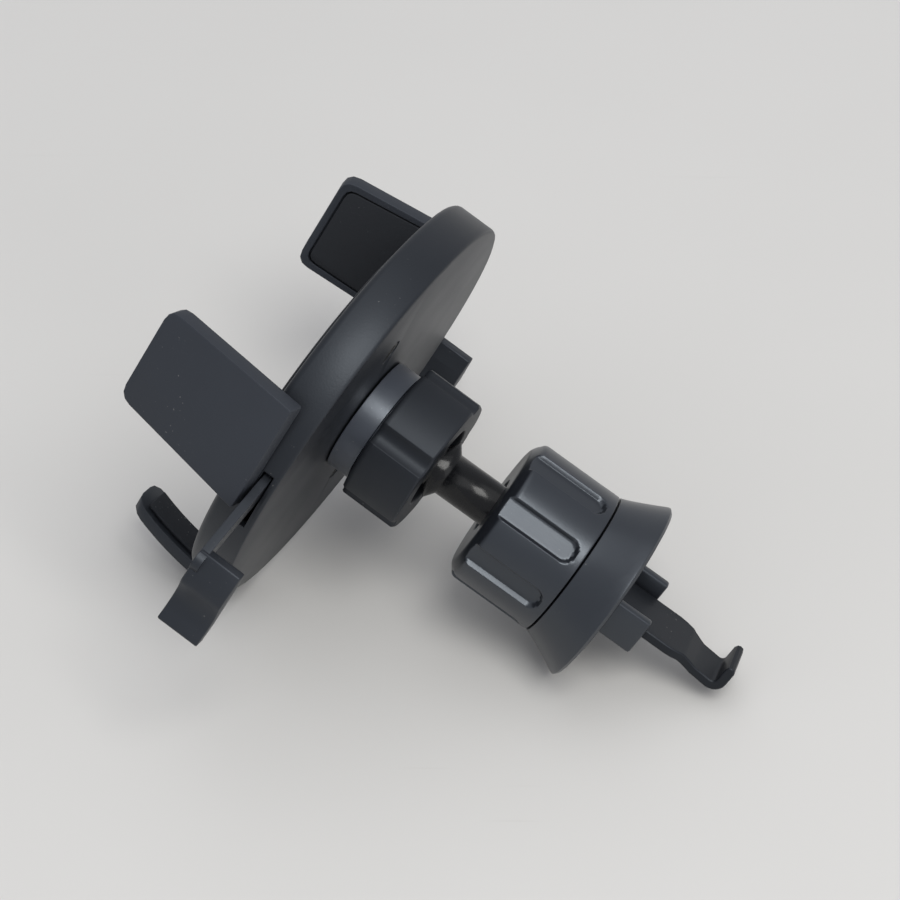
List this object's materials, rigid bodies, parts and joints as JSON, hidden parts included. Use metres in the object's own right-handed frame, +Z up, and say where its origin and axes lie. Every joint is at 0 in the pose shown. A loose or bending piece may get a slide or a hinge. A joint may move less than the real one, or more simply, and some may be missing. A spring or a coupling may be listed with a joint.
{
  "type": "car phone mount",
  "caption": "Phone holder for a car air vent: a round cradle with spring-apart clamping arms, a sliding foot, a clamped ball joint and a screw-tightened hook.",
  "frame": {"origin": "centre of the bounding box on the table, with the mount lying on its foot, its flared base and its right lever", "axes": "+Z up from the table; +X runs along the longest side, from the cradle towards the vent hook; +Y to its left, which makes the frame right-handed"},
  "size_m": [0.1028, 0.0966, 0.0745],
  "materials": {
    "satin": "satin moulded plastic",
    "matte": "finely textured moulded plastic",
    "gloss": "polished plastic",
    "rubber": "matt rubber",
    "steel": "plain",
    "brass": "turned"
  },
  "bodies": {
    "cradle": {"rear_cover": "satin", "front_cover": "satin", "front_pad": "rubber", "cover_screw_1": "steel", "cover_screw_2": "steel", "pinion_pin": "steel", "lever_pin_left": "steel", "lever_pin_right": "steel", "lever_spring_left": "steel", "lever_spring_right": "steel", "socket_boss": "satin"},
    "arm_carriage_left": {"arm_left": "matte", "arm_pad_left": "rubber", "arm_slide_left": "satin"},
    "arm_carriage_right": {"arm_right": "matte", "arm_pad_right": "rubber", "arm_slide_right": "satin"},
    "gear": {"pinion": "satin"},
    "lever_left": {"release_lever_left": "satin"},
    "lever_right": {"release_lever_right": "satin"},
    "foot": {"bottom_foot": "satin", "foot_pad": "rubber"},
    "nut": {"lock_nut": "satin"},
    "seat": {"ball_seat": "gloss"},
    "stem": {"ball_stem": "gloss", "hook_strip": "satin", "hook_key": "steel"},
    "flare": {"flare_base": "satin", "flare_pad": "rubber"},
    "knob": {"vent_knob": "satin", "knob_insert": "brass"}
  },
  "joints": [
    {"name": "arm_slide_left_out", "type": "slide", "parent": "cradle", "child": "arm_carriage_left", "axis": [-0.3646, -0.8714, 0.3282], "range_m": [0, 0.015]},
    {"name": "arm_slide_right_out", "type": "slide", "parent": "cradle", "child": "arm_carriage_right", "axis": [0.3646, 0.8714, -0.3282], "range_m": [0, 0.015]},
    {"name": "pinion_turn", "type": "hinge", "parent": "cradle", "child": "gear", "pos_m": [-0.01355, 0.00507, 0.04528], "axis": [-0.7998, 0.4735, 0.3689], "range_deg": [0, 172.5]},
    {"name": "lever_left_squeeze", "type": "hinge", "parent": "cradle", "child": "lever_left", "pos_m": [-0.02013, -0.01729, 0.05172], "axis": [0.7998, -0.4735, -0.3689], "range_deg": [0, 12], "stiffness_Nm_per_rad": 0.05, "springref_deg": -28.65},
    {"name": "lever_right_squeeze", "type": "hinge", "parent": "cradle", "child": "lever_right", "pos_m": [-0.00263, 0.02453, 0.03597], "axis": [-0.7998, 0.4735, 0.3689], "range_deg": [0, 12], "stiffness_Nm_per_rad": 0.05, "springref_deg": -28.65},
    {"name": "foot_slide_out", "type": "slide", "parent": "cradle", "child": "foot", "axis": [-0.4768, -0.128, -0.8696], "range_m": [-0.003, 0.008]},
    {"name": "nut_turn", "type": "hinge", "parent": "cradle", "child": "nut", "pos_m": [-0.00501, -0.00262, 0.03436], "axis": [0.7998, -0.4735, -0.3689], "range_deg": [-30, 360]},
    {"name": "ball_roll", "type": "hinge", "parent": "cradle", "child": "seat", "pos_m": [-0.00501, -0.00262, 0.03436], "axis": [0.7998, -0.4735, -0.3689], "range_deg": [-180, 180]},
    {"name": "ball_tilt", "type": "hinge", "parent": "seat", "child": "stem", "pos_m": [-0.00501, -0.00262, 0.03436], "axis": [0.5852, 0.4784, 0.6548], "range_deg": [-22.14, 5.86]},
    {"name": "flare_press", "type": "slide", "parent": "stem", "child": "flare", "axis": [0.8107, -0.364, -0.4585], "range_m": [0, 0.0075]},
    {"name": "knob_turn", "type": "hinge", "parent": "flare", "child": "knob", "pos_m": [0.00934, -0.00906, 0.02625], "axis": [0.8107, -0.364, -0.4585], "range_deg": [0, 1083]}
  ],
  "couplings": [
    {"joint": "arm_slide_right_out", "follows": "arm_slide_left_out", "ratio": 1},
    {"joint": "pinion_turn", "follows": "arm_slide_left_out", "rad_per_m": 200},
    {"joint": "knob_turn", "follows": "flare_press", "rad_per_m": 2513.3}
  ]
}
